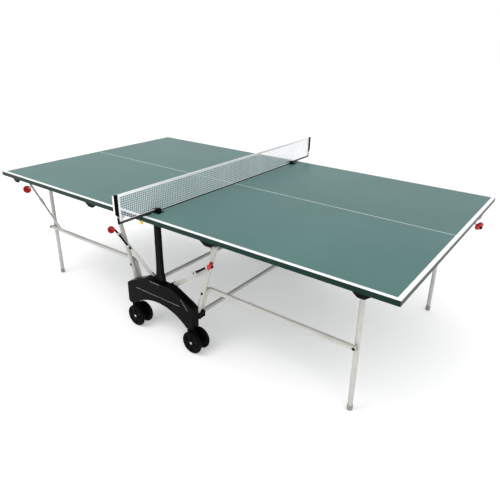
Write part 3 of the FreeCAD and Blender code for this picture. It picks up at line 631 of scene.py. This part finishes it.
def net_posts(finishes):
    """Flat black net posts with a slanted lower end, edged in white, each on a tongue from its arm."""
    low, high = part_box("net_posts")
    arm_low, arm_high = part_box("net_arms")
    inner, outer = arm_high.y, high.y
    posts = bmesh.new()
    edging = bmesh.new()
    for way in ENDS.values():
        plate(posts, [(way * y, z) for y, z in ((inner, high.z), (outer - EDGING, high.z),
                                                (outer - EDGING, POST_END_OUTER), (inner, POST_END_INNER))],
              POST_HALF)
        near, far = sorted((way * inner, way * (inner + TONGUE)))
        plank(posts, (-POST_HALF, near, arm_low.z), (POST_HALF, far, POST_END_OUTER), 0.8 * MM)
        plate(edging, [(way * y, z) for y, z in ((outer - EDGING, high.z), (outer, high.z),
                                                 (outer, POST_END_OUTER), (outer - EDGING, POST_END_OUTER))],
              EDGING_HALF)
        plate(edging, [(way * y, z) for y, z in ((inner, POST_END_INNER), (outer, POST_END_OUTER),
                                                 (outer, POST_END_OUTER - EDGING),
                                                 (inner, POST_END_INNER - EDGING))], EDGING_HALF)
    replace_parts(piece_of("net_post_plates", posts, finishes["post_paint"], "undercarriage"),
                "net_posts")
    piece_of("net_post_edging", edging, finishes["white"], "undercarriage")


# ---------------------------------------------------------------- stage

CAMERA_PLACE = (1.826, -2.298, 1.641)
AZIMUTH, ELEVATION, ROLL = 36.31, 23.13, 0.91
LENS = 34.84
SHIFT = (-0.0019, -0.0239)
FLOOR_HALF = 30.0
FLOOR_GLOW = 0.22


def add_camera():
    camera = bpy.data.cameras.new("camera")
    camera.lens = LENS
    camera.sensor_width = 36.0
    camera.shift_x, camera.shift_y = SHIFT
    holder = bpy.data.objects.new("camera", camera)
    bpy.context.scene.collection.objects.link(holder)
    azimuth, elevation, roll = (math.radians(angle) for angle in (AZIMUTH, ELEVATION, ROLL))
    back = Vector((math.sin(azimuth) * math.cos(elevation), -math.cos(azimuth) * math.cos(elevation),
                   math.sin(elevation)))
    right = Vector((0, 0, 1)).cross(back).normalized()
    up = back.cross(right)
    rolled_right = math.cos(roll) * right + math.sin(roll) * up
    rolled_up = math.cos(roll) * up - math.sin(roll) * right
    turn = Matrix((rolled_right, rolled_up, back)).transposed().to_4x4()
    holder.matrix_world = Matrix.Translation(CAMERA_PLACE) @ turn
    bpy.context.scene.camera = holder


def add_floor():
    """A pale floor with the faintest unevenness, softly lit from within so its shadows stay light."""
    bm = bmesh.new()
    bmesh.ops.create_grid(bm, x_segments=8, y_segments=8, size=FLOOR_HALF)
    mesh = bpy.data.meshes.new("floor")
    bm.to_mesh(mesh)
    bm.free()
    floor = bpy.data.objects.new("floor", mesh)
    bpy.context.scene.collection.objects.link(floor)
    mesh.materials.append(finish_of("floor_paint", grey(0.96), grey(0.98), (0.8, 0.95), 60.0, drift=0.8,
                                    strength=0.02, Emission_Color=(1.0, 1.0, 1.0, 1.0),
                                    Emission_Strength=FLOOR_GLOW))


def add_light(name, place, aim, size, power, colour):
    light = bpy.data.lights.new(name, "AREA")
    light.shape = "DISK"
    light.size = size
    light.energy = power
    light.color = colour
    holder = bpy.data.objects.new(name, light)
    bpy.context.scene.collection.objects.link(holder)
    holder.location = place
    holder.rotation_mode = "QUATERNION"
    holder.rotation_quaternion = (Vector(aim) - Vector(place)).to_track_quat("-Z", "Y")


def add_studio():
    """Soft even studio light from all round, with one large key and one fill."""
    world = bpy.data.worlds.new("studio")
    world.use_nodes = True
    background = world.node_tree.nodes["Background"]
    background.inputs["Color"].default_value = (1.0, 1.0, 1.0, 1.0)
    background.inputs["Strength"].default_value = 1.0
    bpy.context.scene.world = world
    bpy.context.scene.view_settings.view_transform = "Standard"
    add_light("key", (-1.5, -3.5, 4.5), (0, 0, 0.5), 3.5, 70.0, (1.0, 0.99, 0.97))
    add_light("fill", (4.0, -3.0, 2.5), (0.5, 0, 0.3), 3.0, 30.0, (0.97, 0.99, 1.0))


# ---------------------------------------------------------------- assembly

def build():
    finishes = make_finishes()
    finish_nodes(finishes)
    for name, side in SIDES.items():
        playing_lines(name, side, finishes)
        pivot_caps(name, finishes)
        end = "front" if side < 0 else "back"
        grip(f"{name}_lock_grip", f"{name}_lock_knob", side, ENDS[end], "knob", f"{name}_lock", finishes)
        for end, way in ENDS.items():
            grip(f"{name}_{end}_latch_grip", f"{name}_{end}_latch_handle", side, way, "handle",
                 f"{name}_{end}_latch", finishes)
            castor(name, end, finishes)
    for end in ENDS:
        bridge_lines(end, finishes)
    net_pieces(finishes)
    net_posts(finishes)


add_camera()
add_floor()
add_studio()
build()
